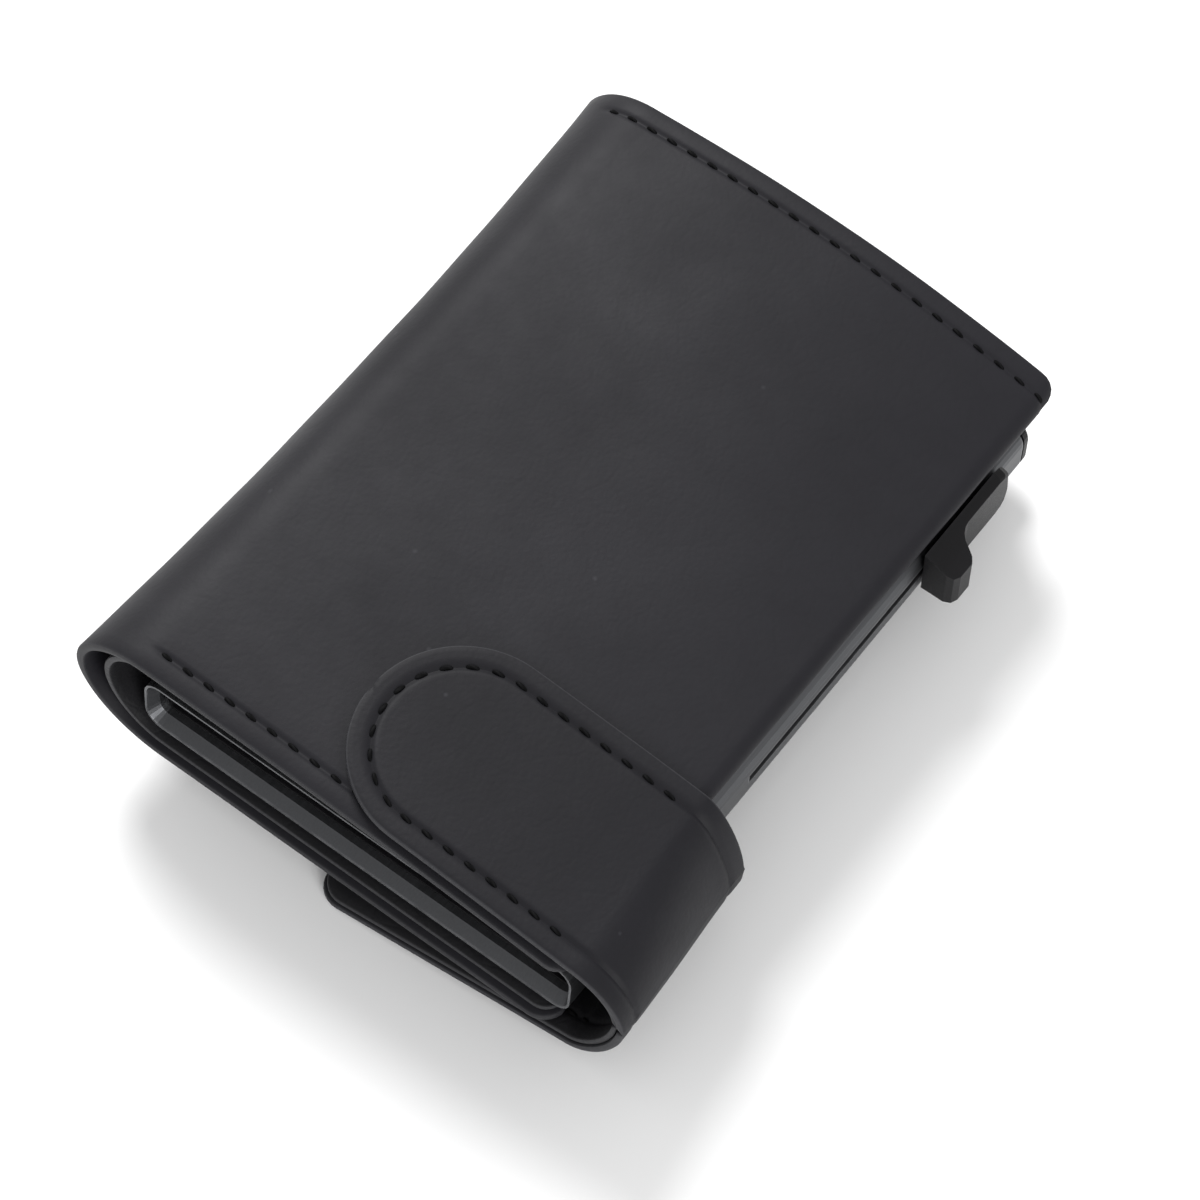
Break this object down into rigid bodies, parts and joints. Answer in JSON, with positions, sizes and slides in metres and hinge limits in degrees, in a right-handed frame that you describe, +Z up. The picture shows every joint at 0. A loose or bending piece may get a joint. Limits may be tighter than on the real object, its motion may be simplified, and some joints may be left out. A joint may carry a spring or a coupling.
{
  "type": "bifold wallet",
  "caption": "Black leather bifold wallet round a slim aluminium card case with a side slider, closed by a strap with a press stud.",
  "frame": {"origin": "under the middle of the closed wallet, strap included, at the height of the lowest point of the strap's free end", "axes": "+X from the spine to the opening side, +Y from the mouth end to the sewn end, +Z up, out of the front cover"},
  "size_m": [0.0808, 0.1012, 0.0295],
  "materials": {
    "black_leather": "matt waxed cowhide, finely mottled",
    "lining_leather": "thin smooth lining leather",
    "case_aluminium": "satin grey anodised",
    "black_plastic": "fine spark-eroded matt",
    "grey_felt": "pressed felt",
    "stud_metal": "gunmetal plated"
  },
  "bodies": {
    "back": {"back_cover": "black_leather", "inner_leaf_back": "lining_leather", "case_mounting_pad": "grey_felt", "card_case": "case_aluminium", "mouth_liner": "black_plastic", "case_end_cap": "black_plastic", "friction_strip_lower": "grey_felt", "friction_strip_upper": "grey_felt", "card_guide_rail": "black_plastic", "press_stud": "stud_metal"},
    "spine": {"spine": "black_leather", "inner_leaf_fold": "lining_leather"},
    "front": {"front_cover": "black_leather", "inner_leaf_front": "lining_leather", "card_pocket_rear": "lining_leather", "card_pocket_front": "lining_leather", "strap_lining_sewn": "lining_leather", "strap_outer_sewn": "black_leather"},
    "strap_bend": {"strap_outer_bend": "black_leather", "strap_lining_bend": "lining_leather"},
    "strap_tab": {"strap_outer_tab": "black_leather", "strap_lining_tab": "lining_leather", "press_stud_socket": "stud_metal"},
    "slider": {"slider_lever": "black_plastic", "ejector_carriage": "black_plastic"}
  },
  "joints": [
    {"name": "cover_lower_fold", "type": "hinge", "parent": "back", "child": "spine", "pos_m": [-0.0353, 0.00058, 0.01], "axis": [0, -1, 0], "range_deg": [0, 87], "deforming": ["spine", "inner_leaf_fold", "strap_outer_tab", "strap_lining_tab", "press_stud_socket"]},
    {"name": "cover_upper_fold", "type": "hinge", "parent": "spine", "child": "front", "pos_m": [-0.0353, 0.00058, 0.024], "axis": [0, -1, 0], "range_deg": [0, 87]},
    {"name": "strap_upper_fold", "type": "hinge", "parent": "front", "child": "strap_bend", "pos_m": [0.0327, -0.03532, 0.022], "axis": [0, -1, 0], "range_deg": [0, 85], "deforming": ["strap_outer_bend", "strap_lining_bend"]},
    {"name": "strap_lower_fold", "type": "hinge", "parent": "strap_bend", "child": "strap_tab", "pos_m": [0.0327, -0.03532, 0.0055], "axis": [0, -1, 0], "range_deg": [0, 85]},
    {"name": "slider_travel", "type": "slide", "parent": "back", "child": "slider", "axis": [0, -1, 0], "range_m": [0, 0.038]}
  ],
  "couplings": [
    {"joint": "cover_upper_fold", "follows": "cover_lower_fold", "ratio": 1},
    {"joint": "strap_lower_fold", "follows": "strap_upper_fold", "ratio": 1}
  ]
}
